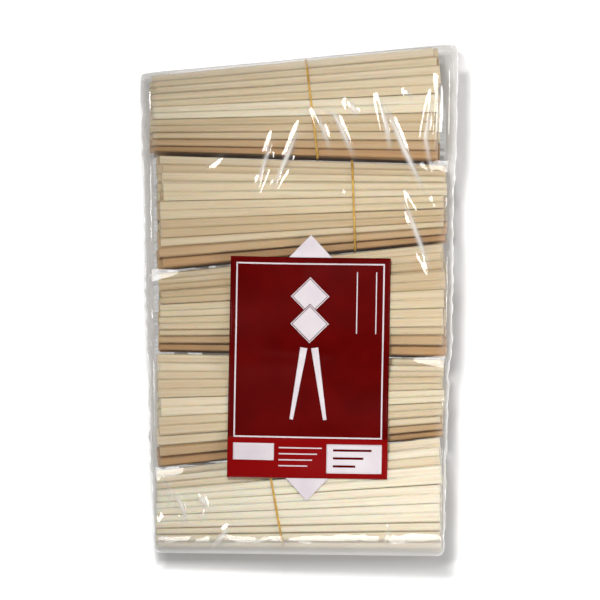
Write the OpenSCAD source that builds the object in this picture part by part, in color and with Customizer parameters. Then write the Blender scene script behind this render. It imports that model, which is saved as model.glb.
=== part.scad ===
// Retail pack of disposable wooden chopsticks: banded bundles of split pairs in a printed film bag.
// Millimetres. The pack lies on its back: X along the sticks, Y up the pack, Z up from the floor.

/* [Chopstick pair] */
// Length of a pair, head to tips
pair_len = 203; // [160:1:240]
// Width of a pair across its head
head_w = 13.1; // [11.5:0.1:16]
// Width of a pair across its tips
tip_w = 8.9; // [7:0.1:11]
// Thickness at the head
head_t = 4.2; // [3.8:0.1:5.5]
// Thickness at the tips
tip_t = 3.2; // [2.6:0.1:3.7]
// Chamfer along the four outer edges
edge_chamfer = 0.5; // [0.2:0.1:0.8]
// Depth of the groove that a pair splits along
groove_depth = 0.8; // [0.5:0.1:1.1]
// Width of the saw cut between the two sticks
kerf = 0.5; // [0.2:0.1:0.8]
// Length that stays joined at the head
joined_len = 28; // [10:1:80]

/* [Bundle] */
// Layers of pairs in a bundle
layers = 19; // [10:1:22]
// Pairs side by side in the widest layers
widest = 6; // [4:1:8]
// Gap between neighbouring pairs
pair_gap = 0.15; // [0.1:0.05:0.4]
// Furthest that the end of a pair stands out of line
end_scatter = 1.2; // [0:0.1:4]
// Furthest that a layer sits to one side, as a share of a pair
layer_shift = 0.06; // [0:0.02:0.12]

/* [Rubber band] */
// Width of a band
band_w = 1.6; // [1:0.2:6]
// Thickness of a stretched band
band_t = 0.8; // [0.4:0.1:1.5]
// Gap between a band and the wood
band_gap = 0.2; // [0.15:0.05:0.4]
// Place of each band along its bundle, from the middle of the pack
band_at = [9, 39, -6, 14, -17]; // [-60:1:60]
// Slant of each band, in degrees
band_slant = [5.7, 2.3, 4, 3, 7.8]; // [-10:0.1:10]

/* [Pack] */
// Bundles in the pack, head to tail in turn
bundles = 5; // [2:1:7]
// Gap between neighbouring bundles
bundle_gap = 2; // [1.8:0.1:8]
// Turn of the first bundle from square, in degrees
lean = 1.7; // [-3:0.1:3]
// Further turn of each next bundle, in degrees
lean_step = 0.3; // [0:0.1:0.4]
// Shift of each bundle along the sticks
bundle_at = [-3, 2, 2.5, 1, 0]; // [-4:0.5:4]

/* [Film bag] */
// Thickness of the film
film_t = 0.08; // [0.04:0.01:0.3]
// Gap between the film on the floor and the bands
seat_gap = 0.1; // [0.1:0.05:1]
// Room between the bands and the film
film_slack = 0.6; // [0.3:0.1:4]
// Room past the stick ends at the mouth of the bag
mouth_slack = 8.5; // [6:0.5:15]
// Room past the stick ends at the sealed end
seal_slack = 1.2; // [1.2:0.1:12]
// Rounding of the bag where it turns over the stick ends, less where the slack is small
film_corner = 9; // [3:0.5:10]
// How far the pressed ends of the bag stand out past the first and last bundle
end_tuck = 1.4; // [1:0.1:4]
// How far the sides draw in at the pressed ends
end_inset = 9; // [4:0.5:12]
// How far the film sinks between two bundles, as a share of their height
sag = 0.05; // [0.02:0.01:0.1]
// Height that the mouth stands open where it is pressed shut
mouth_gap = 0.5; // [0.3:0.1:2]

/* [Label print] */
// Width of the red panel
label_w = 114; // [60:1:120]
// Height of the red panel
label_h = 157.5; // [100:0.5:170]
// Middle of the red panel, across and up the pack
label_at = [7, -50]; // [-60:1:60]
// Turn of the label from square, in degrees
label_turn = -1; // [-4:0.1:4]
// Inset of the white frame from the edge of the panel
frame_inset = 4.1; // [2:0.1:10]
// Width of the white lines
line_w = 1.1; // [0.5:0.1:3]
// Height of the red strip under the frame
strip_h = 28.5; // [20:0.5:40]
// Half of a lozenge's diagonal
lozenge = 13.8; // [6:0.1:18]
// Drop of the upper lozenge below the frame
lozenge_drop = 10; // [2:0.5:20]
// Drop of the two rules below the frame
rule_drop = 6; // [2:0.5:20]
// Length, head and tip width of a stroke of the plain motif
stroke = [52, 5.2, 2.6]; // [1:0.1:70]
// Distance of each stroke from the middle
stroke_apart = 8; // [4:0.5:14]
// Thickness of a layer of ink
ink_t = 0.1; // [0.05:0.01:0.3]

/* [Hidden] */
bundle_names = [for (b = [1:bundles]) str("chopsticks_bundle_", b)];
band_names = [for (b = [1:bundles]) str("rubber_band_", b)];

// A pair is a wedge in plan and from the side, so neighbours and layers are turned by its two angles.
pitch_head = head_w + pair_gap;
pitch_tip = tip_w + pair_gap;
taper_t = (head_t - tip_t) / pair_len;
pair_turn = 2 * atan((head_w - tip_w) / 2 / pair_len);
pair_apex = pitch_head / 2 / tan(pair_turn / 2);
layer_turn = atan(taper_t);
layer_apex = (head_t + pair_gap) / tan(layer_turn);
widest_half = widest / 2 + layer_shift;

// Heights and rooms that the bands and the film need.
band_room = band_gap + band_t;
seat_z = film_t + seat_gap + band_room;
film_room = band_room + film_slack;
bundle_pitch = widest_half * (pitch_head + pitch_tip) + bundle_gap;
lean_most = max(abs(lean), abs(lean + lean_step * (bundles - 1)));
stick_reach = pair_len / 2 + end_scatter + head_w / 2 * sin(lean_most + widest_half * pair_turn);

function lerp(a, b, t) = a + (b - a) * t;

// Pairs in layer k: a bundle is round-shouldered, like the curve u^3 + v^3 = 1.
function layer_across(k) = abs(2 * (k + 0.5) / layers - 1);
function layer_count(k) = round(widest * pow(1 - pow(layer_across(k), 3), 1 / 3));

// The bundles lie head to tail; b counts from the top of the pack.
function head_side(b) = b % 2 == 0 ? 1 : -1;
function lean_of(b) = lean + lean_step * b;
function centre_y(b) = ((bundles - 1) / 2 - b) * bundle_pitch;
function centre_x(b) = bundle_at[b % len(bundle_at)];
function from_head(b, x) = (pair_len / 2 - head_side(b) * (x - centre_x(b))) / pair_len;
function half_width(b, x) = widest_half * lerp(pitch_head, pitch_tip, from_head(b, x));
function layer_z(k, from) = (layer_apex - from * pair_len) * tan(k * layer_turn);
function stack_height(b, x) = layer_z(layers, from_head(b, x));

// One pair of chopsticks, head at x = 0, lying on z = 0. A cutter runs along a line on its surface and
// faces outwards at an angle about that line.
module along_line(from, to, outward) {
    run = to - from;
    yaw = atan2(run[1], run[0]);
    dip = -asin(run[2] / norm(run));
    translate(from)
        rotate([0, dip, yaw])
            rotate([outward, 0, 0])
                translate([-1, 0, 0])
                    rotate([90, 0, 90])
                        linear_extrude(height = norm(run) + 2)
                            children();
}

module chamfer_cut(from, to, outward) {
    along_line(from, to, outward)
        translate([-3, -edge_chamfer / sqrt(2)])
            square([6, 3]);
}

module groove_cut(from, to, outward) {
    reach = groove_depth + 1;
    along_line(from, to, outward)
        polygon([[0, -groove_depth], [reach, 1], [-reach, 1]]);
}

module pair() {
    plan = [
        [0, -head_w / 2], [pair_len, -tip_w / 2], [pair_len, -kerf / 2], [joined_len, -kerf / 2],
        [joined_len, kerf / 2], [pair_len, kerf / 2], [pair_len, tip_w / 2], [0, head_w / 2]
    ];
    side = [[-1, 0], [pair_len + 1, 0], [pair_len + 1, tip_t - taper_t], [-1, head_t + taper_t]];
    difference() {
        intersection() {
            translate([0, 0, -1])
                linear_extrude(height = head_t + 2)
                    polygon(plan);
            rotate([90, 0, 0])
                linear_extrude(height = head_w + 2, center = true)
                    polygon(side);
        }
        for (s = [-1, 1]) {
            chamfer_cut([0, s * head_w / 2, 0], [pair_len, s * tip_w / 2, 0], -135 * s);
            chamfer_cut([0, s * head_w / 2, head_t], [pair_len, s * tip_w / 2, tip_t], -45 * s);
        }
        groove_cut([0, 0, 0], [pair_len, 0, 0], 180);
        groove_cut([0, 0, head_t], [pair_len, 0, tip_t], 0);
    }
}

// A bundle: each pair is turned about the point its sides meet in, each layer about the line its faces
// meet in, so that straight tapered pairs lie side by side and flat on each other all along. Each pair is
// slid along itself to bring its middle to the middle of the pack, so that a leaning bundle ends square.
function middle_slide(b, turn, rise) =
    let (off = (pair_apex - pair_len / 2) * sin(turn) * tan(lean_of(b)))
    let (flat = (pair_len / 2 + off - layer_apex * (1 - cos(rise))) / cos(rise))
    (flat - pair_apex * (1 - cos(turn))) / cos(turn) - pair_len / 2;

module layer(b, k) {
    count = layer_count(k);
    shift = layer_shift * rands(-1, 1, layers, 40 + b)[k];
    scatter = rands(-end_scatter, end_scatter, count, 100 * b + k);
    rise = k * layer_turn;
    translate([layer_apex * (1 - cos(rise)), 0, layer_apex * sin(rise)])
        rotate([0, rise, 0])
            for (i = [0:count - 1]) {
                turn = (i - (count - 1) / 2 + shift) * pair_turn;
                translate([pair_apex * (1 - cos(turn)), pair_apex * sin(turn), 0])
                    rotate(-turn)
                        translate([middle_slide(b, turn, rise) + scatter[i], 0, 0])
                            pair();
            }
}

module in_bundle(b) {
    translate([centre_x(b), centre_y(b), seat_z])
        rotate(lean_of(b) + 90 * (1 + head_side(b)))
            translate([-pair_len / 2, 0, 0])
                children();
}

module bundle(b) {
    color("#d9caae")
        in_bundle(b)
            for (k = [0:layers - 1])
                layer(b, k);
}

// A band: the hull of the bundle's section on a slanted upright plane, made one band thickness wider.
function section_points(x0, slant) = [
    for (k = [0:layers - 1], s = [-1, 1], up = [0, 1])
        let (half = s * (layer_count(k) / 2 + layer_shift))
        let (taper = (pitch_tip - pitch_head) / pair_len)
        let (y = half * (pitch_head + taper * x0) / (1 - half * taper * tan(slant)))
        let (x = x0 + y * tan(slant))
        [y / cos(slant), layer_z(k + up, x / pair_len) - up * pair_gap]
];

module band(b) {
    n = b % len(band_at);
    x0 = pair_len / 2 - head_side(b) * (band_at[n] - centre_x(b));
    slant = band_slant[n];
    color("#cf9c33")
        in_bundle(b)
            translate([x0, 0, 0])
                rotate([90, 0, 90 - slant])
                    linear_extrude(height = band_w, center = true)
                        difference() {
                            offset(delta = band_gap + band_t)
                                hull() polygon(section_points(x0, slant));
                            offset(delta = band_gap)
                                hull() polygon(section_points(x0, slant));
                        }
}

// Stations of the film, from the mouth to the sealed end. Each is
// [bundle, place across it, distance past it, top and bottom as shares of its height, room over it,
// inset of the bag's sides, share of the way that a taller neighbour lifts it].
function end_stations(b, s) = [
    [b, s, s * (film_room + end_tuck), 0.5, 0.5, mouth_gap, end_inset, 0],
    [b, s, s * (film_room + end_tuck * 0.86), 0.6, 0.36, 0, end_inset * 0.67, 0],
    [b, s, s * (film_room + end_tuck * 0.5), 0.71, 0.24, 0, end_inset * 0.33, 0],
    [b, s, s * film_room, 0.8, 0.15, film_room / 2, end_inset * 0.07, 0],
    [b, 0.9 * s, 0, 0.9, 0.07, film_room, 0, 0],
    [b, 0.75 * s, 0, 0.965, 0.02, film_room, 0, 0]
];
function crown_stations(b) = [
    for (v = [0.6, 0, -0.6])
        [b, v, 0, 1, 0, film_room, 0, has_neighbour(b, v) * abs(v) * 0.4]
];
function valley_stations(b) = [
    [b, -0.85, 0, 1 - sag / 2, 0, film_room, 0, 0.6],
    [b, -1, -bundle_gap / 2, 1 - sag, 0, film_room, 0, 1],
    [b + 1, 0.85, 0, 1 - sag / 2, 0, film_room, 0, 0.6]
];
function has_neighbour(b, v) = b - sign(v) >= 0 && b - sign(v) < bundles ? 1 : 0;
function reversed(list) = [for (i = [len(list) - 1:-1:0]) list[i]];

top_end = end_stations(0, 1);
low_end = reversed(end_stations(bundles - 1, -1));
middle = [
    for (b = [0:bundles - 1])
        each concat(crown_stations(b), b < bundles - 1 ? valley_stations(b) : [])
];
stations = concat(top_end, middle, low_end);

function station_y(s, x, inset) =
    centre_y(s[0]) + (x - centre_x(s[0])) * tan(lean_of(s[0]))
    + s[1] * half_width(s[0], x) + s[2] - sign(s[1] * s[6]) * inset;
function lifted(s, x) = max(0, stack_height(s[0] - sign(s[1]), x) - stack_height(s[0], x));
function tallest(s, x) = stack_height(s[0], x) + (s[7] > 0 ? s[7] * lifted(s, x) : 0);
function side_slack(s) = lerp(mouth_slack, seal_slack, (s[0] + 0.5 - s[1] / 2) / bundles);
function film_half(s) = stick_reach + abs(centre_x(s[0])) + side_slack(s) - s[6];
function top_z(s, x) = seat_z + s[3] * tallest(s, x) + s[5];
function bottom_z(s, x) = s[4] == 0 ? 0 : s[4] * tallest(s, x) + (s[4] == 0.5 ? seat_z : 0);

// One ring of the bag's skin at a station: floor, right side, top, left side.
grid = [-1, 0, 1];
corner_angles = [0, 45, 90];

// A rounding of corner_room would touch the stick ends; its flat facets cut inside it, so less is used.
corner_clear = 0.7;
function corner_room(s) = side_slack(s) + film_room + sqrt(2 * side_slack(s) * film_room);
function corner_of(s) = min(film_corner, corner_clear * corner_room(s));
function grid_x(s) = [for (g = grid) g * (film_half(s) - film_corner * 1.1)];
function on_floor(s, x, inset) = [x, station_y(s, x, inset), bottom_z(s, x) + inset];
function on_top(s, x, inset) = [x, station_y(s, x, inset), top_z(s, x) - inset];
function in_corner(s, side, up, a, inset) =
    let (half = film_half(s) - inset)
    let (r = min(corner_of(s), (top_z(s, 0) - bottom_z(s, 0)) / 2 - inset) * 0.96)
    let (x = side * (half - r + r * cos(a)))
    let (z = up == 1 ? top_z(s, x) - inset - r + r * sin(a) : bottom_z(s, x) + inset + r - r * sin(a))
    [x, station_y(s, x, inset), z];
function ring(s, inset) = concat(
    [for (x = grid_x(s)) on_floor(s, x, inset)],
    [for (a = reversed(corner_angles)) in_corner(s, 1, 0, a, inset)],
    [for (a = corner_angles) in_corner(s, 1, 1, a, inset)],
    [for (x = reversed(grid_x(s))) on_top(s, x, inset)],
    [for (a = reversed(corner_angles)) in_corner(s, -1, 1, a, inset)],
    [for (a = corner_angles) in_corner(s, -1, 0, a, inset)]
);

// The pack is moved up or down a little so that its box is centred.
function ring_y(s) = [for (p = ring(s, 0)) p[1]];
pack_shift = -(max(ring_y(stations[0])) + min(ring_y(stations[len(stations) - 1]))) / 2;

// The bag is one skin: outside to the mouth, round its lip, and back inside to the sealed end.
module film_bag() {
    n = len(ring(stations[0], 0));
    m = len(stations);
    outside = [for (s = stations) each ring(s, 0)];
    inside = [for (s = stations) each ring(s, film_t)];
    inner = n * m;
    wall = [
        for (j = [0:m - 2], i = [0:n - 1])
            let (k = (i + 1) % n)
            each [[j * n + i, (j + 1) * n + i, (j + 1) * n + k], [j * n + i, (j + 1) * n + k, j * n + k]]
    ];
    lining = [for (f = wall) [f[0] + inner, f[2] + inner, f[1] + inner]];
    lip = [
        for (i = [0:n - 1])
            let (k = (i + 1) % n)
            each [[i, k, inner + k], [i, inner + k, inner + i]]
    ];
    foot = n - len(corner_angles);
    last = (m - 1) * n;
    seal = [
        for (j = [0:n / 2 - 2])
            let (low = last + (foot + j) % n)
            let (low_next = last + (foot + j + 1) % n)
            let (high = last + foot - 1 - j)
            each [[low, high, high - 1], [low, high - 1, low_next]]
    ];
    seal_inside = [for (f = seal) [f[0] + inner, f[2] + inner, f[1] + inner]];
    color("#efece8", 0.25)
        polyhedron(points = concat(outside, inside), faces = concat(wall, lining, lip, seal, seal_inside));
}

// A layer of ink follows the top of the film on the film's own grid, and is cut to a flat outline.
module ink_layer(lift) {
    across = len(grid);
    rows = [for (j = [len(top_end):len(stations) - len(low_end) - 1]) stations[j]];
    count = across * len(rows);
    low = [for (s = rows, x = grid_x(s)) on_top(s, x, -lift)];
    high = [for (s = rows, x = grid_x(s)) on_top(s, x, -lift - ink_t)];
    quads = [for (j = [0:len(rows) - 2], i = [0:across - 2]) j * across + i];
    top = [
        for (q = quads)
            let (p = q + count)
            each [[p, p + 1, p + across], [p + 1, p + across + 1, p + across]]
    ];
    under = [for (f = top) [f[0] - count, f[2] - count, f[1] - count]];
    edge = concat(
        [for (i = [0:across - 1]) i],
        [for (j = [1:len(rows) - 1]) j * across + across - 1],
        [for (i = [across - 2:-1:0]) (len(rows) - 1) * across + i],
        [for (j = [len(rows) - 2:-1:1]) j * across]
    );
    sides = [
        for (e = [0:len(edge) - 1])
            let (p = edge[e])
            let (q = edge[(e + 1) % len(edge)])
            each [[p, q, q + count], [p, q + count, p + count]]
    ];
    intersection() {
        polyhedron(points = concat(low, high), faces = concat(top, under, sides));
        translate([label_at[0], label_at[1] - pack_shift, seat_z])
            rotate(label_turn)
                linear_extrude(height = layers * head_t * 2)
                    children();
    }
}

// Flat outlines of the print, centred on the red panel.
module panel_outline() {
    square([label_w, label_h], center = true);
}

module points_outline() {
    for (s = [-1, 1])
        polygon([
            [-label_w * 0.135, s * label_h / 2], [label_w * 0.135, s * label_h / 2],
            [0, s * (label_h / 2 + label_w * 0.14)]
        ]);
}

module frame_outline() {
    frame_w = label_w - 2 * frame_inset;
    frame_h = label_h - frame_inset - strip_h;
    translate([-frame_w / 2, strip_h - label_h / 2])
        difference() {
            square([frame_w, frame_h]);
            translate([line_w, line_w])
                square([frame_w - 2 * line_w, frame_h - 2 * line_w]);
        }
}

module lozenge_shape(size) {
    polygon([[-size, 0], [0, -size], [size, 0], [0, size]]);
}

module lozenges_outline() {
    upper_y = label_h / 2 - frame_inset - lozenge - lozenge_drop;
    lower_y = upper_y - lozenge * 1.42;
    difference() {
        translate([0, upper_y]) lozenge_shape(lozenge);
        translate([0, upper_y]) lozenge_ring();
        translate([0, lower_y]) lozenge_shape(lozenge + line_w / 2);
    }
    difference() {
        translate([0, lower_y]) lozenge_shape(lozenge);
        translate([0, lower_y]) lozenge_ring();
    }
}

module lozenge_ring() {
    difference() {
        lozenge_shape(lozenge - line_w);
        lozenge_shape(lozenge - line_w * 1.6);
    }
}

module rules_outline() {
    for (x = [0.29, 0.41])
        translate([x * label_w, label_h / 2 - frame_inset - rule_drop - 0.28 * label_h])
            square([line_w * 0.7, 0.28 * label_h]);
}

// A plain pair of tapered strokes stands where the label carries lettering.
module strokes_outline() {
    reach = stroke[0] / 2;
    for (s = [-1, 1])
        translate([0, -label_h * 0.08])
            rotate(s * 9)
                translate([s * stroke_apart, 0])
                    polygon([
                        [-stroke[1] / 2, reach], [stroke[1] / 2, reach],
                        [stroke[2] / 2, -reach], [-stroke[2] / 2, -reach]
                    ]);
}

module boxes_outline() {
    box_h = strip_h * 0.42;
    translate([-label_w / 2 + frame_inset, strip_h * 0.86 - box_h - label_h / 2])
        square([label_w * 0.255, box_h]);
    translate([label_w / 2 - frame_inset - label_w * 0.345, strip_h * 0.13 - label_h / 2])
        square([label_w * 0.345, strip_h * 0.73]);
}

module label_red_ink() {
    color("#5d0402")
        ink_layer(ink_t)
            panel_outline();
}

module label_white_ink() {
    color("#d8d0d3")
        ink_layer(ink_t * 3) {
            points_outline();
            frame_outline();
            lozenges_outline();
            rules_outline();
            strokes_outline();
            boxes_outline();
        }
}

module placed() {
    translate([0, pack_shift, 0])
        children();
}

placed() film_bag();
placed() label_red_ink();
placed() label_white_ink();
for (b = [0:bundles - 1]) {
    placed() bundle(b);
    placed() band(b);
}
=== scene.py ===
# Retail pack of disposable wooden chopsticks: five banded bundles of pairs in a printed clear film bag.
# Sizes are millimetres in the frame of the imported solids: X along the sticks, Y up the pack, Z up.

import math

import bpy
import numpy as np
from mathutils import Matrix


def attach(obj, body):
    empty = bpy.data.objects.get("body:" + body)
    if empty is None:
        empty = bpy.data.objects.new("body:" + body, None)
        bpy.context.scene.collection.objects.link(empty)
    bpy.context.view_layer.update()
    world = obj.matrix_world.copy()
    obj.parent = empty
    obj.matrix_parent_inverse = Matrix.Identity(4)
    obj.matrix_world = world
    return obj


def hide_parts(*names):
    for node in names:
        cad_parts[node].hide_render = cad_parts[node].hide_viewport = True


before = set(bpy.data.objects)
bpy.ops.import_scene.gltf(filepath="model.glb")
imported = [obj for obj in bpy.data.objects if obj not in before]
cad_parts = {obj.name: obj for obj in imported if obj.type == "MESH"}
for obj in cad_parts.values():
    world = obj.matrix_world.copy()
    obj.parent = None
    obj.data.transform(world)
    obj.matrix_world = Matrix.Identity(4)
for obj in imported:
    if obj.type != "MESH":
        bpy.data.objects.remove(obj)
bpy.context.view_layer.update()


# Chopstick pairs
# A pair is sawn from one slat of aspen: a flat taper, grooved along the middle of both faces, with a saw
# cut that stops short of the head. A hundred pairs with their heads one way are stacked into a bundle.
pair_len, joined_len = 203.0, 28.0
head_w, tip_w = 13.1, 8.9
head_t, tip_t = 4.2, 3.2
edge, groove, kerf = 1.3, 1.0, 0.1
layers, widest = 19, 6
pair_gap, layer_shift = 0.15, 0.06

# Five bundles from the top of the pack down: how far sticks' ends stand out of line, the wood's tone from
# dark to pale, partly the wood's own and partly painted light that makes the two bundles under the top one
# darker and the lowest ones paler as if lit more, place along the sticks, which side the heads lie, and
# turn from square.
bundles, bundle_gap = 5, 2.0
end_scatter = [3.2, 3.2, 2.4, 1.8, 1.2]
bundle_tone_and_light = [0.5, 0.22, 0.22, 0.6, 0.95]
# Spread of the slats' tones, and two tones of painted shade for pairs on a flank over a valley.
tone_spread, valley_shade_tone, half_valley_shade_tone = 0.32, 0.0, 0.08
bundle_at = np.array([-3.0, 2.0, 2.5, 1.0, 0.0])
head_side = np.array([1, -1, 1, -1, 1])
lean = np.radians(1.7 + 0.3 * np.arange(bundles))

pitch_head = head_w + pair_gap
pitch_tip = tip_w + pair_gap
pair_turn = 2 * math.atan((head_w - tip_w) / 2 / pair_len)
pair_apex = pitch_head / 2 / math.tan(pair_turn / 2)
layer_turn = math.atan((head_t - tip_t) / pair_len)
layer_apex = (head_t + pair_gap) / math.tan(layer_turn)
widest_half = widest / 2 + layer_shift
bundle_pitch = widest_half * (pitch_head + pitch_tip) + bundle_gap

# Height of the lowest sticks over the floor, and the shift that centres the pack's box.
seat_z, pack_shift = 1.18, -4.46
centre_y = ((bundles - 1) / 2 - np.arange(bundles)) * bundle_pitch + pack_shift


def new_mesh(name, points, faces, smooth=False):
    """A mesh object from points in millimetres, with its place in its mesh."""
    mesh = bpy.data.meshes.new(name)
    mesh.from_pydata(np.asarray(points, float) * 0.001, [], faces)
    mesh.polygons.foreach_set("use_smooth", np.full(len(mesh.polygons), smooth))
    mesh.update()
    piece = bpy.data.objects.new(name, mesh)
    bpy.context.collection.objects.link(piece)
    return piece


def put_attribute(piece, name, values):
    """One number or one vector for each point of the mesh, for its material to read."""
    values = np.asarray(values, np.float32)
    kind, key = ("FLOAT", "value") if values.ndim == 1 else ("FLOAT_VECTOR", "vector")
    layer = piece.data.attributes.new(name, kind, "POINT")
    layer.data.foreach_set(key, values.ravel())


def linear(code):
    """An sRGB hex colour as linear RGBA."""
    c = np.array([int(code[i:i + 2], 16) for i in (1, 3, 5)]) / 255
    rgb = np.where(c <= 0.04045, c / 12.92, ((c + 0.055) / 1.055) ** 2.4)
    return (*rgb.tolist(), 1.0)


def new_material(name):
    """A material with an empty node tree, and its output node."""
    mat = bpy.data.materials.new(name)
    mat.use_nodes = True
    mat.node_tree.nodes.clear()
    out = mat.node_tree.nodes.new("ShaderNodeOutputMaterial")
    return mat, out


def node(mat, kind, settings=None, **sockets):
    """Adds a node: settings are its properties, sockets its inputs by name, a value or another output."""
    made = mat.node_tree.nodes.new("ShaderNode" + kind)
    for key, value in (settings or {}).items():
        setattr(made, key, value)
    for key, value in sockets.items():
        name = key.replace("_", " ")
        socket = made.inputs[int(key[1:])] if key[0] == "i" and key[1:].isdigit() else made.inputs[name]
        if isinstance(value, bpy.types.NodeSocket):
            mat.node_tree.links.new(value, socket)
        else:
            socket.default_value = value
    return made


def ramp_stops(made, *stops):
    """Sets a colour ramp to stops of (place, hex colour)."""
    points = made.color_ramp.elements
    while len(points) < len(stops):
        points.new(0.5)
    for point, (place, code) in zip(points, stops):
        point.position = place
        point.color = linear(code)


def half_outline(half_w, thick, inner):
    """Half of a pair's section, from the groove on top round the outer side to the groove below: flat
    faces, groove walls with soft lips that start at a distance inner from the middle, edges rounded in
    facets. Across is measured from the middle, sunk from the face."""
    lip_across = [inner, 0.55 * groove, 1.15 * groove]
    lip_sunk = [0.95 * groove - inner, 0.38 * groove, 0]
    edge_across = [half_w - 1.15 * edge, half_w - 0.58 * edge, half_w - 0.19 * edge, half_w]
    edge_sunk = [0, 0.15 * edge, 0.5 * edge, edge]
    across = lip_across + edge_across
    sunk = lip_sunk + edge_sunk
    return np.array([*zip(across, thick - np.array(sunk)), *zip(across[::-1], sunk[::-1])])


def pair_template():
    """Points and faces of one pair, head at x = 0. Half sections at the head, at the end of the saw cut
    and at the tips are carried along x on both sides, and doubled points are merged."""
    cut = joined_len / pair_len
    cut_half = (head_w + (tip_w - head_w) * cut) / 2
    cut_t = head_t + (tip_t - head_t) * cut
    sections = [
        (0, half_outline(head_w / 2, head_t, 0)),
        (joined_len, half_outline(cut_half, cut_t, 0)),
        (joined_len, half_outline(cut_half, cut_t, kerf / 2)),
        (pair_len, half_outline(tip_w / 2, tip_t, kerf / 2)),
    ]
    n = len(sections[0][1])
    points = np.concatenate([
        np.column_stack([np.full(n, x), side * yz[:, 0], yz[:, 1]])
        for side in (1, -1) for x, yz in sections
    ])
    faces = []
    for side, first in ((1, 0), (-1, 4 * n)):
        head, joint, slit, tip = (first + q * n for q in range(4))
        half = [[head, joint, slit, joint + 1, head + 1]]
        half += [[head + j, joint + j, joint + j + 1, head + j + 1] for j in range(1, n - 2)]
        half += [[head + n - 2, joint + n - 2, slit + n - 1, joint + n - 1, head + n - 1]]
        half += [[slit + j, tip + j, tip + (j + 1) % n, slit + (j + 1) % n] for j in range(n)]
        half += [[tip + j for j in range(n - 1, -1, -1)]]
        faces += half if side == 1 else [f[::-1] for f in half]
    head_end = [*range(n), *range(5 * n - 2, 4 * n, -1)]
    cut_end = [7 * n - 1, 2 * n - 1, 3 * n - 1, 2 * n, n, 6 * n]
    faces += [head_end, cut_end]
    _, keep, merged = np.unique(points.round(4), axis=0, return_index=True, return_inverse=True)
    merged = merged.ravel()
    return points[keep], [merged[f].tolist() for f in faces]


def turned(p, angle, axis):
    """Points turned by an angle about one axis; angles may differ along the first dimension."""
    c, s = np.cos(angle), np.sin(angle)
    a, b = [(1, 2), (2, 0), (0, 1)][axis]
    out = p.copy()
    out[..., a] = c * p[..., a] - s * p[..., b]
    out[..., b] = s * p[..., a] + c * p[..., b]
    return out


def in_bundle(b, p):
    """From a bundle's own frame, heads at x = 0, to the pack."""
    p = turned(p - [pair_len / 2, 0, 0], lean[b] + math.pi / 2 * (1 + head_side[b]), 2)
    return p + [bundle_at[b], centre_y[b], seat_z]


def layer_counts():
    """Pairs in each layer: a bundle is round-shouldered, like the curve u^3 + v^3 = 1."""
    across = np.abs(2 * (np.arange(layers) + 0.5) / layers - 1)
    return np.floor(widest * (1 - across ** 3) ** (1 / 3) + 0.5).astype(int)


def bundle_of_pairs(b):
    """A bundle: pairs fan about the point where their sides meet and layers about the line where their
    faces meet, so that straight tapers lie flat on each other; each is slid along itself so that the bundle
    ends square, and is then a little out of true."""
    shape, faces = pair_template()
    counts = layer_counts()
    total = counts.sum()
    draw = np.random.default_rng(11 + b)
    layer = np.repeat(np.arange(layers), counts)
    place = np.concatenate([np.arange(c) - (c - 1) / 2 for c in counts])
    shift = layer_shift * draw.uniform(-1, 1, layers)[layer]
    scatter = end_scatter[b] * (0.6 * draw.uniform(-1, 1, total) + 0.4 * np.cos(1.1 * place + layer))
    roll = np.radians(draw.normal(0, 0.7, total).clip(-1.6, 1.6))
    yaw = np.radians(draw.normal(0, 0.07, total).clip(-0.15, 0.15))
    lift = draw.uniform(-0.08, 0.12, total)
    turn = ((place + shift) * pair_turn)[:, None]
    rise = (layer * layer_turn)[:, None]
    p = np.repeat(shape[None], total, axis=0)
    p = turned(p - [0, 0, head_t / 2], roll[:, None], 0) + [0, 0, head_t / 2]
    p = turned(p - [pair_len / 2, 0, 0], yaw[:, None], 2) + [pair_len / 2, 0, 0]
    off = (pair_apex - pair_len / 2) * np.sin(turn) * math.tan(lean[b])
    flat = (pair_len / 2 + off - layer_apex * (1 - np.cos(rise))) / np.cos(rise)
    slide = (flat - pair_apex * (1 - np.cos(turn))) / np.cos(turn) - pair_len / 2
    p[..., 0] += slide + scatter[:, None]
    p[..., 2] += lift[:, None]
    p = turned(p, -turn, 2)
    p[..., 0] += pair_apex * (1 - np.cos(turn))
    p[..., 1] += pair_apex * np.sin(turn)
    p = turned(p, rise, 1)
    p[..., 0] += layer_apex * (1 - np.cos(rise))
    p[..., 2] += layer_apex * np.sin(rise)
    p = in_bundle(b, p)
    step = len(shape)
    all_faces = [[q + i * step for q in f] for i in range(total) for f in faces]
    piece = new_mesh(f"pairs_{b + 1}", p.reshape(-1, 3), all_faces)
    offset = draw.uniform(0, 400, (total, 1, 3))
    put_attribute(piece, "wood_place", (shape[None] + offset).reshape(-1, 3))

    # Each slat has its own tone round its bundle's tone. On the flank over a valley the pairs below the
    # upper
    # two layers are painted browner: painted shade of the valley between the bundles.
    tone = (bundle_tone_and_light[b] + draw.uniform(-tone_spread, tone_spread, total)).clip(0.15, 1)
    over_valley = (head_side[b] * place > (counts[layer] - 1) / 2 - 0.1) & (b < bundles - 1)
    tone = np.where(over_valley & (layer == layers - 3), half_valley_shade_tone, tone)
    tone = np.where(over_valley & (layer < layers - 3), valley_shade_tone, tone)
    put_attribute(piece, "slat", np.repeat(tone, step))
    return piece


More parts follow.
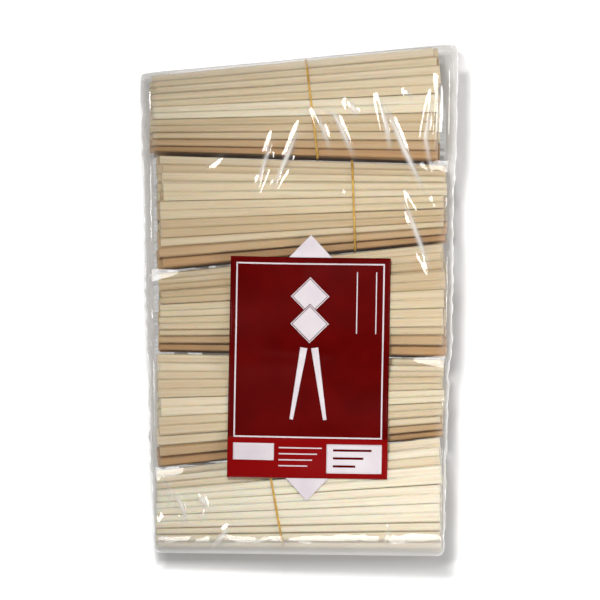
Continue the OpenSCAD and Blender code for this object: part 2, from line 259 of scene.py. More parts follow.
# Aspen, sawn and tumbled: pale cream wood with straight, faint grain and a dry satin surface. Growth
# streaks are about 1.5 mm wide; fibres are drawn 0.5 mm wide, coarser than life, so that they show.
aspen, out = new_material("aspen_tumbled")
place = node(aspen, "Attribute", {"attribute_name": "wood_place"})
slat = node(aspen, "Attribute", {"attribute_name": "slat"})
along = node(aspen, "Mapping", Vector=place.outputs["Vector"], Scale=(0.012, 0.65, 0.65))
streak = node(aspen, "TexNoise", Vector=along.outputs[0], Scale=1.0, Detail=2.0, Roughness=0.5)
fine = node(aspen, "Mapping", Vector=place.outputs["Vector"], Scale=(0.05, 2.0, 2.0))
fibre = node(aspen, "TexNoise", Vector=fine.outputs[0], Scale=1.0, Detail=2.0, Roughness=0.6)
# Tones under 0.15, the brown end of the ramp, are reached only by the painted shade over the valleys.
tone = node(aspen, "ValToRGB", Fac=slat.outputs["Fac"])
ramp_stops(tone, (0.0, "#bd9a70"), (0.15, "#c8b493"), (0.4, "#d9caae"), (0.72, "#e5d9c2"),
           (1.0, "#f0e7d5"))
grain = node(aspen, "ValToRGB", Fac=streak.outputs["Fac"])
ramp_stops(grain, (0.3, "#d8c4a2"), (0.48, "#f6ecd8"), (0.62, "#ffffff"), (0.8, "#ebdcc2"))
wood = node(aspen, "Mix", {"data_type": "RGBA", "blend_type": "MULTIPLY"}, i0=0.35,
            i6=tone.outputs[0], i7=grain.outputs[0])
fleck = node(aspen, "ValToRGB", Fac=fibre.outputs["Fac"])
ramp_stops(fleck, (0.3, "#e3d2b4"), (0.55, "#ffffff"))
wood_fleck = node(aspen, "Mix", {"data_type": "RGBA", "blend_type": "MULTIPLY"}, i0=0.22,
                  i6=wood.outputs[2], i7=fleck.outputs[0])
relief = node(aspen, "Bump", Height=fibre.outputs["Fac"], Strength=0.25, Distance=0.0002)
rub = node(aspen, "MapRange", Value=fibre.outputs["Fac"], To_Min=0.52, To_Max=0.68)
skin = node(aspen, "BsdfPrincipled", Base_Color=wood_fleck.outputs[2], Roughness=rub.outputs[0],
            Normal=relief.outputs[0])
skin.inputs["Specular IOR Level"].default_value = 0.3
skin.inputs["Subsurface Weight"].default_value = 0.5
skin.inputs["Subsurface Scale"].default_value = 0.001
skin.inputs["Subsurface Radius"].default_value = (5.0, 2.4, 1.0)
aspen.node_tree.links.new(skin.outputs[0], out.inputs[0])

for b in range(bundles):
    pairs = bundle_of_pairs(b)
    pairs.data.materials.append(aspen)
    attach(pairs, "root")
    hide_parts(f"chopsticks_bundle_{b + 1}")


# Rubber bands
# One thin band of natural rubber holds each bundle near its middle. It is cut from a round tube and
# stretched, so it lies taut over the corners of the stack and runs a little askew.
band_w, band_t, band_gap = 1.6, 0.8, 0.2
band_at = [9, 39, -6, 14, -17]
band_slant = np.radians([-5.2, 0.0, 4.0, 3.0, -7.1])


def grid_faces(rows, cols, around=False):
    """Quads of a grid of points, row by row; around joins the last column to the first."""
    r = np.arange(rows - 1)[:, None]
    c = np.arange(cols if around else cols - 1)[None]
    k = (c + 1) % cols
    corners = [r * cols + c, r * cols + k, (r + 1) * cols + k, (r + 1) * cols + c]
    return np.stack(np.broadcast_arrays(*corners), axis=-1).reshape(-1, 4)


def band_loop(b):
    """A taut loop round the bundle's slanted section: for each direction the furthest corner of the
    layers, moved out by the band, and round that line a section like a rectangle with soft corners."""
    x0 = pair_len / 2 - head_side[b] * (band_at[b] - bundle_at[b])
    slant = band_slant[b]
    half = (layer_counts() / 2 + layer_shift)[:, None] * np.array([-1, 1])
    taper = (pitch_tip - pitch_head) / pair_len
    y = half * (pitch_head + taper * x0) / (1 - half * taper * math.tan(slant))
    from_head = x0 + y * math.tan(slant)
    level = np.arange(layers)[:, None]
    low = (layer_apex - from_head) * np.tan(level * layer_turn)
    high = (layer_apex - from_head) * np.tan((level + 1) * layer_turn) - pair_gap
    corner_y = np.tile(y.ravel(), 2) / math.cos(slant)
    corner = np.stack([corner_y, np.concatenate([low.ravel(), high.ravel()])])
    angle = np.linspace(0, 2 * math.pi, 200, endpoint=False)
    outward = np.stack([np.cos(angle), np.sin(angle)])
    core = corner[:, np.argmax(corner.T @ outward, axis=0)]
    section = np.linspace(0, 2 * math.pi, 12, endpoint=False)
    soft = [np.sign(f) * np.abs(f) ** 0.6 for f in (np.cos(section), np.sin(section))]
    reach = band_gap + band_t / 2 * (1 + soft[0])
    ring = core[:, :, None] + outward[:, :, None] * reach
    across = np.broadcast_to(band_w / 2 * soft[1], ring.shape[1:])
    p = np.stack([
        x0 + ring[0] * math.sin(slant) + across * math.cos(slant),
        ring[0] * math.cos(slant) - across * math.sin(slant),
        ring[1],
    ], axis=-1)
    p = in_bundle(b, np.concatenate([p, p[:1]]).reshape(-1, 3))
    quads = grid_faces(len(angle) + 1, len(section), around=True)
    quads = np.where(quads >= len(angle) * len(section), quads - len(angle) * len(section), quads)
    piece = new_mesh(f"band_{b + 1}", p[:-len(section)], quads[:, ::-1].tolist(), smooth=True)
    return piece


# Natural rubber, extruded and cut: amber, half clear, with a dull waxy shine and faint marks about 5 mm
# apart.
rubber, out = new_material("natural_rubber")
spot = node(rubber, "TexCoord")
mark = node(rubber, "TexNoise", Vector=spot.outputs["Object"], Scale=220.0, Detail=2.0)
shade = node(rubber, "ValToRGB", Fac=mark.outputs["Fac"])
ramp_stops(shade, (0.3, "#b98a26"), (0.7, "#d9b04a"))
stretch = node(rubber, "BsdfPrincipled", Base_Color=shade.outputs[0], Roughness=0.42, IOR=1.52)
stretch.inputs["Subsurface Weight"].default_value = 0.2
stretch.inputs["Subsurface Radius"].default_value = (0.0012, 0.0008, 0.0003)
rubber.node_tree.links.new(stretch.outputs[0], out.inputs[0])

for b in range(bundles):
    band = band_loop(b)
    band.data.materials.append(rubber)
    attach(band, "root")
    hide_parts(f"rubber_band_{b + 1}")


# Film bag
# A bag of clear cast polypropylene drawn over the five bundles: taut over their crowns, sunk between them,
# turned down over the stick ends, closed at both ends. Creases run across the pack where it was pulled.
film_slack, sag = 0.6, 0.05
mouth_slack, seal_slack, mouth_gap = 8.5, 1.2, 0.5
end_tuck, end_inset = 1.4, 9.0
film_room = band_gap + band_t + film_slack
stick_reach = pair_len / 2 + end_scatter[-1] + head_w / 2 * math.sin(lean[-1] + widest_half * pair_turn)


def film_stations():
    """Rows that the film passes through, from the mouth to the sealed end: bundle, place across it,
    distance past it, top and bottom as shares of its height, room over it, inset of the sides, lift by a
    neighbour."""
    def end(b, s):
        return [
            [b, s, s * (film_room + end_tuck), 0.5, 0.5, mouth_gap, end_inset, 0],
            [b, s, s * (film_room + end_tuck * 0.86), 0.6, 0.36, 0, end_inset * 0.67, 0],
            [b, s, s * (film_room + end_tuck * 0.5), 0.71, 0.24, 0, end_inset * 0.33, 0],
            [b, s, s * film_room, 0.8, 0.15, film_room / 2, end_inset * 0.07, 0],
            [b, 0.9 * s, 0, 0.9, 0.07, film_room, 0, 0],
            [b, 0.75 * s, 0, 0.965, 0.02, film_room, 0, 0],
        ]
    middle = []
    for b in range(bundles):
        for v in (0.6, 0, -0.6):
            beside = b - np.sign(v)
            lift = 0.4 * abs(v) if 0 <= beside < bundles else 0
            middle.append([b, v, 0, 1, 0, film_room, 0, lift])
        if b < bundles - 1:
            middle.append([b, -0.85, 0, 1 - sag / 2, 0, film_room, 0, 0.6])
            middle.append([b, -1, -bundle_gap / 2, 1 - sag, 0, film_room, 0, 1])
            middle.append([b + 1, 0.85, 0, 1 - sag / 2, 0, film_room, 0, 0.6])
    return np.array(end(0, 1) + middle + end(bundles - 1, -1)[::-1], float)


def stack_height(b, x):
    """Height of a bundle's stack at x along the pack."""
    b = np.clip(b, 0, bundles - 1)
    from_head = pair_len / 2 - head_side[b] * (x - bundle_at[b])
    return (layer_apex - from_head) * np.tan(layers * layer_turn)


def spline_rows(stations, rows):
    """Weights of a clamped cubic B-spline: each of the rows as a mix of the stations."""
    count = len(stations)
    t = np.interp(rows, np.linspace(0, 1, count), np.arange(count))
    knot = np.arange(-2, count + 2)
    d = np.abs(t[:, None] - knot[None])
    basis = np.where(d < 1, 2 / 3 - d ** 2 + d ** 3 / 2, np.where(d < 2, (2 - d) ** 3 / 6, 0))
    weights = basis[:, 2:-2].copy()
    weights[:, 0] += basis[:, :2].sum(1)
    weights[:, -1] += basis[:, -2:].sum(1)
    return weights


def station_grid(s, share, corner):
    """x, y, top and bottom of the film at stations s, for shares of the half width."""
    b = s[:, 0].astype(int)[:, None]
    slack = mouth_slack + (seal_slack - mouth_slack) * (s[:, 0] + 0.5 - s[:, 1] / 2) / bundles
    half = stick_reach + np.abs(bundle_at[b[:, 0]]) + slack - s[:, 6]
    x = share[None] * (half - corner)[:, None]
    from_head = (pair_len / 2 - head_side[b] * (x - bundle_at[b])) / pair_len
    half_width = widest_half * (pitch_head + (pitch_tip - pitch_head) * from_head)
    y = centre_y[b] + (x - bundle_at[b]) * np.tan(lean[b]) + s[:, 1:2] * half_width + s[:, 2:3]
    own = stack_height(b, x)
    other = stack_height(b - np.sign(s[:, 1:2]).astype(int), x)
    tall = own + s[:, 7:8] * np.maximum(0, other - own)
    top = seat_z + s[:, 3:4] * tall + s[:, 5:6]
    bottom = np.where(s[:, 4:5] == 0, 0, s[:, 4:5] * tall + np.where(s[:, 4:5] == 0.5, seat_z, 0))
    return x, y, top, bottom, half


# Creases as lines over the pack: height, width, then points along each. Dimples: height, width, place.
creases = [
    (1.5, 2.3, [(3, 129), (-9, 100), (-17, 82), (-22, 70)]),
    (1.4, 2.2, [(-17, 121), (-25, 95), (-32, 70)]),
    (1.0, 1.9, [(-77, 86), (-62, 96), (-49, 107)]),
    (1.4, 2.2, [(9, 138), (17, 121), (24, 100)]),
    (1.5, 2.3, [(9, 138), (26, 130), (34, 112), (42, 93)]),
    (1.5, 2.3, [(56, 148), (62, 123), (66, 99)]),
    (1.6, 2.3, [(56, 148), (66, 127), (75, 105), (86, 83), (94, 66)]),
    (1.4, 2.2, [(96, 151), (90, 113), (93, 97), (100, 81)]),
    (1.3, 2.1, [(100, 165), (99, 128), (97, 91)]),
    (1.5, 2.3, [(71, 81), (78, 62), (84, 45), (96, 10)]),
    (1.5, 2.3, [(-93, -132), (-84, -147), (-78, -165)]),
    (1.1, 1.9, [(-86, -153), (-81, -163)]),
    (1.5, 2.4, [(-47, -161), (-64, -180)]),
    (1.3, 2.2, [(65, -163), (60, -176)]),
    (1.5, 2.8, [(34, 143), (38, 136), (43, 127)]),
    (1.2, 2.4, [(75, 150), (82, 140)]),
    (1.2, 2.2, [(-98, -120), (-92, -139), (-95, -158)]),
    (1.2, 2.2, [(-70, -136), (-66, -150), (-72, -166)]),
]
dimples = [(0.9, 3.0, -71, -144), (0.7, 2.0, 30, 83), (0.7, 2.0, 30, 75), (0.7, 2.5, -86, -113)]
label_at, label_turn = np.array([7.0, -50.0]), math.radians(-1)
label_w, label_h = 114.0, 157.5


def crease_relief(x, y):
    """Height of the creases over the smooth film: along each line a ridge shaped like a bell curve, fading
    to nothing at the line's two ends, and at each dimple a low round bump."""
    total = np.zeros(np.broadcast(x, y).shape)
    for height, width, line in creases:
        line = np.array(line, float)
        step = np.hypot(*np.diff(line, axis=0).T)
        place = np.concatenate([[0], np.cumsum(step)])
        best, along = np.full(total.shape, 1e9), np.zeros(total.shape)
        for p, q, first, run in zip(line[:-1], line[1:], place, step):
            t = (((x - p[0]) * (q - p)[0] + (y - p[1]) * (q - p)[1]) / run ** 2).clip(0, 1)
            d = (x - p[0] - t * (q - p)[0]) ** 2 + (y - p[1] - t * (q - p)[1]) ** 2
            along = np.where(d < best, first + t * run, along)
            best = np.minimum(d, best)
        fade = np.sin(np.pi * (along / place[-1]).clip(0.02, 0.98)) ** 0.6
        total = np.maximum(total, height * fade * np.exp(-best / (2 * width ** 2)))
    for height, width, px, py in dimples:
        total += height * np.exp(-((x - px) ** 2 + (y - py) ** 2) / (2 * width ** 2))
    return total


def slack_waves(x, y, z):
    """Soft waves in loose film: a sum of sines in fixed random directions, 18 to 60 mm long."""
    waves = 14
    draw = np.random.default_rng(5)
    total = np.zeros(np.broadcast(x, y, z).shape)
    for _ in range(waves):
        way = draw.normal(size=3)
        way *= 2 * math.pi / draw.uniform(18, 60) / np.linalg.norm(way)
        total += np.sin(way[0] * x + way[1] * y + way[2] * z + draw.uniform(0, 6.28)) / waves
    return total


def label_cover(x, y):
    """1 under the printed panel, falling to 0 over 8 mm round it."""
    c, s = math.cos(label_turn), math.sin(label_turn)
    dx, dy = x - label_at[0], y - label_at[1]
    a, b = c * dx + s * dy, -s * dx + c * dy
    past = np.maximum(np.abs(a) - label_w / 2, np.abs(b) - label_h / 2)
    return (1 - past / 8).clip(0, 1)


# The skin of the bag is a grid: rows from the mouth to the sealed end, columns across the top, down one
# side, back over the floor and up the other side.
film_rows, top_cols, floor_cols = 300, 221, 15
middle_col = top_cols // 2
mouth_round, seal_round, foot_round = 9.0, 3.5, 3.0
stations = film_stations()
station_at = np.linspace(0, 1, len(stations))
corner = np.interp(np.arange(len(stations)), [0, len(stations) - 1], [mouth_round, seal_round])
top_share = np.linspace(-1, 1, top_cols)
floor_share = np.linspace(-1, 1, floor_cols)
gx, gy, gtop, _, ghalf = station_grid(stations, top_share, corner)
middle_step = np.hypot(np.diff(gy[:, middle_col]), np.diff(gtop[:, middle_col]))
run = np.concatenate([[0], np.cumsum(middle_step)])
rows = np.interp(np.linspace(0, run[-1], film_rows), run, station_at)
weights = spline_rows(stations, rows)
top_x, top_y, top_z = (weights @ g for g in (gx, gy, gtop))
fx, fy, _, fbottom, _ = station_grid(stations, floor_share, corner)
low_x, low_y, low_z = (weights @ g for g in (fx, fy, fbottom))
half = (weights @ ghalf)[:, None]
corner = (weights @ corner)[:, None]

# Creases, puckers near the sealed end and soft waves lift the film; under the label it lies flatter.
wave_high, label_calm = 0.55, 0.7
pucker_high, pucker_reach, seal_flat = 4.5, 26, 3
cover = label_cover(top_x, top_y)
relief_map = crease_relief(top_x, top_y) * (1 - cover)
from_seal = top_y - top_y[-1:]
near_seal = np.exp(-(from_seal / pucker_reach) ** 2) - np.exp(-(from_seal / seal_flat) ** 2)
pucker = pucker_high * near_seal * slack_waves(1.6 * top_x, 1.3 * top_y, top_z).clip(0)
wave = wave_high * (1 - label_calm * cover) * slack_waves(top_x, top_y, top_z)
top_z = top_z + relief_map + pucker + wave


def turned_down(side):
    """The film over the stick ends on one side, from the top to the floor: an upper round, a wall with
    upright pleats, a lower round."""
    pinch, pleat_deep = 1.2, 2.2
    col = [-1] if side > 0 else [0]
    y, high, low = (g[:, col] for g in (top_y, top_z, low_z))
    tall = np.minimum(corner * 1.5, (high - low) / 2)
    foot = np.minimum(foot_round, (high - low) / 2)
    upper = np.radians([78, 66, 54, 42, 30, 18, 6])[None]
    lower = np.radians([10, 40, 70])[None]
    down = np.array([0.08, 0.25, 0.5, 0.75, 0.92])[None]
    upper_x = half - corner + corner * np.cos(upper)
    wall_x = np.broadcast_to(half, (len(half), down.size))
    lower_x = half - foot_round + foot_round * np.cos(lower)
    upper_z = high - tall + tall * np.sin(upper)
    wall_z = (high - tall) * (1 - down) + (low + foot) * down
    lower_z = low + foot - foot * np.sin(lower)
    x = np.concatenate([upper_x, wall_x, lower_x], axis=1)
    z = np.concatenate([upper_z, wall_z, lower_z], axis=1)
    y = np.broadcast_to(y, x.shape)
    depth = np.sin(np.pi * np.linspace(0, 1, x.shape[1] + 2)[1:-1])[None]
    pleat = slack_waves(side * 90 + 0.3 * x, 3.2 * y, 0.8 * z)
    return side * (x - depth * pinch + depth * pleat_deep * pleat), y, z


right, left = turned_down(1), turned_down(-1)
ring_x = np.concatenate([top_x, right[0], low_x[:, ::-1], left[0][:, ::-1]], axis=1)
ring_y = np.concatenate([top_y, right[1], low_y[:, ::-1], left[1][:, ::-1]], axis=1)
ring_z = np.concatenate([top_z, right[2], low_z[:, ::-1], left[2][:, ::-1]], axis=1)
count = ring_x.shape[1]
film_points = np.stack([ring_x, ring_y, ring_z.clip(0)], axis=-1).reshape(-1, 3)
film_faces = grid_faces(len(rows), count, around=True)[:, ::-1].tolist()
film_faces.append(list(range(count)))
film_faces.append(list(range(len(film_points) - 1, len(film_points) - count - 1, -1)))
film = new_mesh("film", film_points, film_faces, smooth=True)

# Cloudiness of the film: a trace all over, more on crests of creases, at the edges of the top, round the
# sides from the top to the floor, at the margins of the floor, at both ends and along the sealed end. On
# the crests it is partly milky whitening of the creased film and partly a painted highlight for the
# creases' glints.
trace, cloud_most = 0.015, 0.7
crest_haze_and_glint, crest_high = 0.65, 1.5
edge_haze, edge_reach = 0.14, 6
end_haze, end_reach = 0.28, 24
fold_haze, fold_reach = 0.3, 5
seal_haze, seal_reach = 0.4, 10
side_haze = np.array([0.16, 0.22, 0.28, 0.34, 0.36, 0.3, 0.2, 0.1, 0.06, 0.06, 0.06, 0.1, 0.2, 0.3, 0.35])
floor_haze = 0.4 * np.abs(floor_share) ** 12
around = np.concatenate([np.zeros(top_cols), side_haze, floor_haze, side_haze[::-1]])
cloud_and_glint = trace + np.broadcast_to(around, ring_x.shape)
# Painted highlight, partly real whitening: white haze along the crests of the creases.
cloud_and_glint[:, :top_cols] += crest_haze_and_glint * (relief_map / crest_high) ** 4
near_edge = ((np.abs(top_x) - half + corner + edge_reach) / edge_reach).clip(0, 1)
cloud_and_glint[:, :top_cols] += edge_haze * near_edge
from_mouth = np.interp(rows, station_at, run)[:, None]
from_end = np.minimum(from_mouth, run[-1] - from_mouth)
cloud_and_glint += end_haze * np.exp(-(from_end / end_reach) ** 4) + fold_haze * np.exp(-(from_end / fold_reach) ** 2)
cloud_and_glint[:, :top_cols] += seal_haze * np.exp(-(from_seal / seal_reach) ** 4)
put_attribute(film, "cloud_and_glint", cloud_and_glint.ravel().clip(0, cloud_most))

# Cast polypropylene film, glossy on both faces: clear, with the shine of two plastic skins and a little
# milky scatter where it is creased or doubled; on the crests of creases the white scatter is also a painted
# highlight.
clear, out = new_material("polypropylene_film")
milk = node(clear, "Attribute", {"attribute_name": "cloud_and_glint"})
facing = node(clear, "LayerWeight", Blend=0.5)
steep = node(clear, "Math", {"operation": "POWER"}, i0=facing.outputs["Facing"], i1=5.0)
gleam = node(clear, "MapRange", Value=steep.outputs[0], To_Min=0.07, To_Max=0.9)
see = node(clear, "BsdfTransparent", Color=(1, 1, 1, 1))
shine = node(clear, "BsdfGlossy", Color=(1, 1, 1, 1), Roughness=0.07)
pane = node(clear, "MixShader", i0=gleam.outputs[0], i1=see.outputs[0], i2=shine.outputs[0])
haze = node(clear, "BsdfDiffuse", Color=linear("#efece8"))
whole = node(clear, "MixShader", i0=milk.outputs["Fac"], i1=pane.outputs[0], i2=haze.outputs[0])
clear.node_tree.links.new(whole.outputs[0], out.inputs[0])
film.data.materials.append(clear)
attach(film, "root")
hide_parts("film_bag")


# Label print
# A red panel with a white frame, lozenges, rules, boxes and points, printed on the film over the lower
# bundles. Each ink is a thin layer that follows the film; a plain pair of sticks is the only motif.
frame_inset, line_w, strip_h, lozenge, ink_t = 4.1, 1.1, 28.5, 13.8, 0.06

# Heights of the film at every millimetre up the pack, for the film's own columns.
level_reach = 182
level_y = np.linspace(-level_reach, level_reach, 2 * level_reach + 1)
level_columns = [np.interp(level_y, top_y[::-1, c], top_z[::-1, c]) for c in range(top_cols)]
level_z = np.stack(level_columns, axis=1)
level_w = np.interp(level_y, top_y[::-1, middle_col], (half - corner)[::-1, 0])


def on_film(a, b, lift):
    """Points of the print at a across and b up the panel, lifted off the film: the film's height between
    the nearest four of a regular set of levels."""
    c, s = math.cos(label_turn), math.sin(label_turn)
    x = label_at[0] + c * a - s * b
    y = label_at[1] + s * a + c * b
    r = (y + level_reach).clip(0, 2 * level_reach - 0.01)
    q = ((x / np.interp(y, level_y, level_w) + 1) * middle_col).clip(0, 2 * middle_col - 0.01)
    i, j = r.astype(int), q.astype(int)
    u, v = r - i, q - j
    z = (level_z[i, j] * (1 - u) * (1 - v) + level_z[i + 1, j] * u * (1 - v)
         + level_z[i, j + 1] * (1 - u) * v + level_z[i + 1, j + 1] * u * v)
    return np.stack([x, y, z + lift], axis=-1).reshape(-1, 3)


def patch(corners, lift, step=1.5):
    """A four-cornered patch of ink: its corners, anticlockwise, are blended evenly over a grid."""
    p = np.array(corners, float)
    cols = max(2, 1 + math.ceil(max(np.hypot(*(p[1] - p[0])), np.hypot(*(p[2] - p[3]))) / step))
    rows = max(2, 1 + math.ceil(max(np.hypot(*(p[3] - p[0])), np.hypot(*(p[2] - p[1]))) / step))
    u = np.linspace(0, 1, cols)[None, :, None]
    v = np.linspace(0, 1, rows)[:, None, None]
    ab = p[0] * (1 - u) * (1 - v) + p[1] * u * (1 - v) + p[2] * u * v + p[3] * (1 - u) * v
    return on_film(ab[..., 0], ab[..., 1], lift), grid_faces(rows, cols)


def box_patch(a0, b0, a1, b1, lift):
    """A rectangular patch from its lower left to its upper right corner."""
    return patch([(a0, b0), (a1, b0), (a1, b1), (a0, b1)], lift)


def lozenge_patch(b, size, lift):
    """A square patch on its corner, centred on the panel at height b."""
    return patch([(0, b - size), (size, b), (0, b + size), (-size, b)], lift)


def lozenge_line(b, size, width, lift):
    """The outline of a lozenge as four mitred strips."""
    outer = np.array([(0, b - size), (size, b), (0, b + size), (-size, b)])
    inner = np.array([(0, b - size + width), (size - width, b), (0, b + size - width), (-size + width, b)])
    return [patch([outer[k], outer[(k + 1) % 4], inner[(k + 1) % 4], inner[k]], lift) for k in range(4)]


def ink_piece(name, parts, mat):
    """One ink as a piece: its patches in one mesh, given the thickness of the ink."""
    start = np.cumsum([0] + [len(p) for p, _ in parts])
    faces = np.concatenate([f + s for (_, f), s in zip(parts, start)])
    piece = new_mesh(name, np.concatenate([p for p, _ in parts]), faces.tolist(), smooth=True)
    body = piece.modifiers.new("ink", "SOLIDIFY")
    body.thickness = ink_t * 0.001
    body.offset = -1
    piece.data.materials.append(mat)
    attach(piece, "root")
    return piece


# Places on the panel, from its middle, and how far each layer of ink stands over the film.
wide, tall = label_w / 2, label_h / 2
frame_a, frame_low, frame_high = wide - frame_inset, strip_h - tall, tall - frame_inset
lozenge_drop, rule_drop = 10, 6
upper_b = tall - frame_inset - lozenge - lozenge_drop
lower_b = upper_b - lozenge * 1.42
red_lift, white_lift = 0.15, 0.25
upper_line_lift, rim_lift, bar_lift, lower_lift, lower_line_lift = 0.29, 0.3, 0.33, 0.35, 0.4

red_panel = box_patch(-wide, frame_low, wide, tall, red_lift)
red_strip = box_patch(-wide, -tall, wide, frame_low, red_lift)
red_parts = [red_panel, red_strip]

# The frame, two lozenges and two bare boxes.
left_box_w, right_box_w = 0.255 * label_w, 0.345 * label_w
box_high = strip_h * 0.86 - tall
white_parts = [
    box_patch(-frame_a, frame_low, frame_a, frame_low + line_w, white_lift),
    box_patch(-frame_a, frame_high - line_w, frame_a, frame_high, white_lift),
    box_patch(-frame_a, frame_low + line_w, -frame_a + line_w, frame_high - line_w, white_lift),
    box_patch(frame_a - line_w, frame_low + line_w, frame_a, frame_high - line_w, white_lift),
    lozenge_patch(upper_b, lozenge, white_lift),
    lozenge_patch(lower_b, lozenge, lower_lift),
    box_patch(-frame_a, strip_h * 0.44 - tall, -frame_a + left_box_w, box_high, white_lift),
    box_patch(frame_a - right_box_w, strip_h * 0.13 - tall, frame_a, box_high, white_lift),
]

# A point above and below the panel, and the two tapered strokes of the motif.
point_half, point_high, point_tip = 0.135 * label_w, 0.14 * label_w, 0.05
stroke_len, stroke_head, stroke_tip, stroke_apart = 52, 5.2, 2.6, 8
stroke_turn, stroke_drop = math.radians(9), 0.08 * label_h
for s in (-1, 1):
    end_b = s * (tall + point_high)
    foot = [(-point_half * s, s * tall), (point_half * s, s * tall)]
    white_parts.append(patch([*foot, (point_tip * s, end_b), (-point_tip * s, end_b)], white_lift))
    c, d = math.cos(s * stroke_turn), math.sin(s * stroke_turn)
    across = s * stroke_apart
    stroke = [
        (across - stroke_tip / 2, -stroke_len / 2), (across + stroke_tip / 2, -stroke_len / 2),
        (across + stroke_head / 2, stroke_len / 2), (across - stroke_head / 2, stroke_len / 2),
    ]
    white_parts.append(patch([(c * a - d * b, d * a + c * b - stroke_drop) for a, b in stroke], white_lift))

# Plain lines between the boxes, plain bars in the right-hand box, and two upright rules.
strip_line_w, bar_w = 0.9, 1.6
for row in range(4):
    b = strip_h * (0.74 - 0.15 * row) - tall
    line_end = (0.09 - 0.03 * row) * label_w
    white_parts.append(box_patch(-0.18 * label_w, b, line_end, b + strip_line_w, white_lift))
for row in range(3):
    b = strip_h * (0.68 - 0.2 * row) - tall
    bar_end = (0.4 - 0.05 * row) * label_w
    red_parts.append(box_patch(0.16 * label_w, b, bar_end, b + bar_w, bar_lift))
rule_high, rule_len, rule_w = tall - frame_inset - rule_drop, 0.28 * label_h, 0.7 * line_w
for a in (0.29 * label_w, 0.41 * label_w):
    white_parts.append(box_patch(a, rule_high - rule_len, a + rule_w, rule_high, white_lift))

# A red rim that parts the lower lozenge from the upper one, and a thin red line in each.
red_parts += [lozenge_patch(lower_b, lozenge + line_w / 2, rim_lift)]
red_parts += lozenge_line(upper_b, lozenge - line_w, line_w * 0.5, upper_line_lift)
red_parts += lozenge_line(lower_b, lozenge - line_w, line_w * 0.5, lower_line_lift)

# Gravure ink under a gloss varnish: a deep red, made brighter in the strip as painted light, as if the
# strip were lit more, and a cool off-white, each with a little of the film's own shine. The press lays it a
# little unevenly, in clouds of about 20 mm.
red_ink, out = new_material("gravure_ink_red")
spot = node(red_ink, "TexCoord")
press = node(red_ink, "TexNoise", Vector=spot.outputs["Object"], Scale=45.0, Detail=3.0)
depth = node(red_ink, "ValToRGB", Fac=press.outputs["Fac"])
ramp_stops(depth, (0.3, "#4f0101"), (0.7, "#5c0303"))
# Painted light: the points of the strip are painted a brighter red.
strip = node(red_ink, "Attribute", {"attribute_name": "strip"})
red = node(red_ink, "Mix", {"data_type": "RGBA"}, i0=strip.outputs["Fac"], i6=depth.outputs[0],
           i7=linear("#800607"))
red_skin = node(red_ink, "BsdfPrincipled", Base_Color=red.outputs[2], Roughness=0.3, IOR=1.5)
red_skin.inputs["Coat Weight"].default_value = 0.05
red_skin.inputs["Specular IOR Level"].default_value = 0.05
red_skin.inputs["Coat Roughness"].default_value = 0.08
red_ink.node_tree.links.new(red_skin.outputs[0], out.inputs[0])

white_ink, out = new_material("gravure_ink_white")
spot = node(white_ink, "TexCoord")
press = node(white_ink, "TexNoise", Vector=spot.outputs["Object"], Scale=60.0, Detail=3.0)
depth = node(white_ink, "ValToRGB", Fac=press.outputs["Fac"])
ramp_stops(depth, (0.3, "#cfc5ca"), (0.7, "#d8d0d3"))
white_skin = node(white_ink, "BsdfPrincipled", Base_Color=depth.outputs[0], Roughness=0.3, IOR=1.5)
white_skin.inputs["Coat Weight"].default_value = 0.15
white_skin.inputs["Coat Roughness"].default_value = 0.08
white_ink.node_tree.links.new(white_skin.outputs[0], out.inputs[0])

red_print = ink_piece("print_red", red_parts, red_ink)
# Marks the strip for its painted-light brighter red.
in_lit_strip = [np.full(len(part[0]), part is red_strip) for part in red_parts]
put_attribute(red_print, "strip", np.concatenate(in_lit_strip))
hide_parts("label_red_ink")
white_print = ink_piece("print_white", white_parts, white_ink)
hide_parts("label_white_ink")


# Studio
# A pale seamless floor that glows white round the pack, save in a band right and below it where the real
# shadow shows with a painted edge, a soft dome of light, a key lamp almost overhead, a near lamp at the
# lower right, and three strips of light that only the film mirrors.
floor_reach, fine_reach, fine_lines = 9000, 300, 121
fine_line = np.linspace(-fine_reach, fine_reach, fine_lines)
floor_line = np.concatenate([[-floor_reach], fine_line, [floor_reach]])
floor_x, floor_y = np.meshgrid(floor_line, floor_line)
floor_points = np.stack([floor_x, floor_y, np.zeros_like(floor_x)], axis=-1).reshape(-1, 3)
floor = new_mesh("floor", floor_points, grid_faces(len(floor_line), len(floor_line)).tolist())


def past_bag(x, y):
    """Distance past the bag's outline on the floor, less than 0 inside it."""
    past_side = np.abs(x) - np.interp(y, top_y[::-1, middle_col], half[::-1, 0])
    past_mouth = y - np.interp(x, top_x[0], top_y[0])
    past_seal = np.interp(x, top_x[-1], top_y[-1]) - y
    return np.maximum(past_side, np.maximum(past_mouth, past_seal))


# Glow of the floor: none under the pack, and none in a copy of the bag's outline shifted right and down,
# which sets the edge of the visible shadow as painted shadow; more away from the key lamp.
shadow_off, shadow_soft, pack_soft = 5, 9, 6
lit_x, lit_y, lit_stretch = 80, -60, 0.62
lit_reach, lit_glow = [120, 240], [0.3, 0.8]
oval = np.hypot(floor_x - lit_x, lit_stretch * (floor_y - lit_y))
off_painted_shadow = ((past_bag(floor_x - shadow_off, floor_y + shadow_off) + 1) / shadow_soft).clip(0, 1)
off_pack = (1 + past_bag(floor_x, floor_y) / pack_soft).clip(0, 1)
glow = np.interp(oval, lit_reach, lit_glow) * off_painted_shadow * off_pack
put_attribute(floor, "glow", glow.ravel())

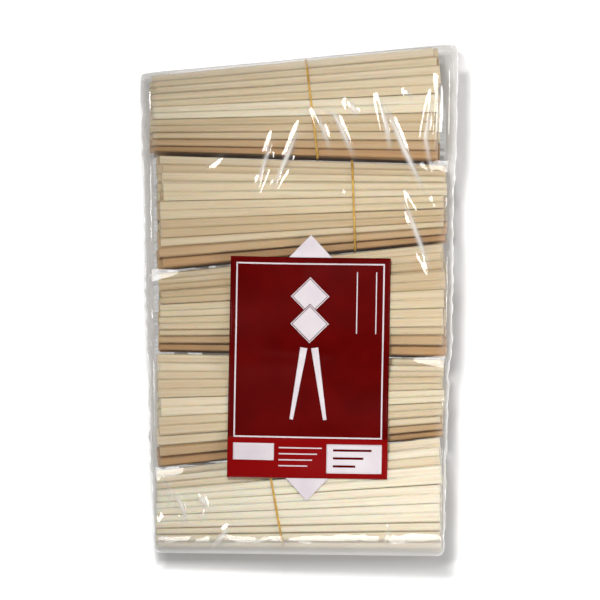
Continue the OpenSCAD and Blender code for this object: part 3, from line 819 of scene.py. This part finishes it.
floor_mat, out = new_material("pale_floor")
paper = node(floor_mat, "BsdfDiffuse", Color=(0.75, 0.75, 0.75, 1))
aglow = node(floor_mat, "Attribute", {"attribute_name": "glow"})
seen = node(floor_mat, "LightPath")
mirrored = node(floor_mat, "Math", {"operation": "ADD"}, i0=seen.outputs["Is Glossy Ray"],
                i1=seen.outputs["Is Transmission Ray"])
in_mirror = node(floor_mat, "Math", {"operation": "MULTIPLY"}, i0=mirrored.outputs[0], i1=0.8)
level = node(floor_mat, "Math", {"operation": "MULTIPLY_ADD"}, i0=seen.outputs["Is Camera Ray"],
             i1=aglow.outputs["Fac"], i2=in_mirror.outputs[0])
bright = node(floor_mat, "Emission", Color=(1, 1, 1, 1), Strength=level.outputs[0])
lit = node(floor_mat, "AddShader", i0=paper.outputs[0], i1=bright.outputs[0])
floor_mat.node_tree.links.new(lit.outputs[0], out.inputs[0])
floor.data.materials.append(floor_mat)

world = bpy.data.worlds.new("dome")
world.use_nodes = True
sky = world.node_tree.nodes["Background"]
sky.inputs["Color"].default_value = (1, 1, 1, 1)
path = node(world, "LightPath")
dome = node(world, "MapRange", Value=path.outputs["Is Glossy Ray"], To_Min=0.34, To_Max=0.06)
sky_level = node(world, "Math", {"operation": "MULTIPLY_ADD"}, i0=path.outputs["Is Camera Ray"], i1=0.66,
                 i2=dome.outputs[0])
world.node_tree.links.new(sky_level.outputs[0], sky.inputs["Strength"])
bpy.context.scene.world = world


def placed_lamp(name, kind, place, aim):
    """A lamp at a place in metres, turned to a point that it is aimed at."""
    light = bpy.data.lights.new(name, kind)
    holder = bpy.data.objects.new(name, light)
    bpy.context.collection.objects.link(holder)
    way = np.array(aim) - place
    yaw = math.atan2(way[1], way[0])
    drop = math.acos(-way[2] / np.linalg.norm(way))
    holder.location = place
    holder.rotation_euler = (drop, 0, yaw - math.pi / 2)
    holder.visible_camera = False
    return holder, light


pack_middle = (0, 0, 0.04)

key, key_light = placed_lamp("key", "SPOT", (-0.1, 0.22, 1.6), (0.18, -0.02, 0.04))
key_light.energy = 80.0
key_light.shadow_soft_size = 0.08
key_light.spot_size = math.radians(34)
key_light.spot_blend = 1.0
key.visible_glossy = False

near, near_light = placed_lamp("near", "AREA", (0.42, -0.25, 0.55), pack_middle)
near_light.size = 0.3
near_light.energy = 1.2
near.visible_glossy = False


def strip_lamp(name, place, aim, width, height, power):
    """A rectangle of light that shows only in shiny surfaces."""
    holder, light = placed_lamp(name, "AREA", place, aim)
    light.shape = "RECTANGLE"
    light.size = width
    light.size_y = height
    light.energy = power
    holder.visible_diffuse = False


strip_lamp("left", (-0.78, 0.33, 1.6), pack_middle, 0.75, 0.32, 10.0)
strip_lamp("right", (0.79, 0.31, 1.6), pack_middle, 0.75, 0.32, 10.0)
strip_lamp("low", (0.1, -1.45, 0.42), (0, -0.15, 0.04), 0.9, 0.6, 11.0)

# The camera looks down on the pack from 87 degrees up with a very long lens; the view spans 430 mm.
view_mm, away, rise = 430.0, 6.0, math.radians(87)
lens = bpy.data.cameras.new("camera")
lens.sensor_width = 36.0
lens.lens = lens.sensor_width * away * 1000 / view_mm
lens.clip_end = 100
camera = bpy.data.objects.new("camera", lens)
bpy.context.collection.objects.link(camera)
camera.location = (0.0007, 0.0002 - away * math.cos(rise), 0.04 + away * math.sin(rise))
camera.rotation_euler = (math.pi / 2 - rise, 0, 0)
bpy.context.scene.camera = camera
bpy.context.scene.view_settings.view_transform = "Standard"
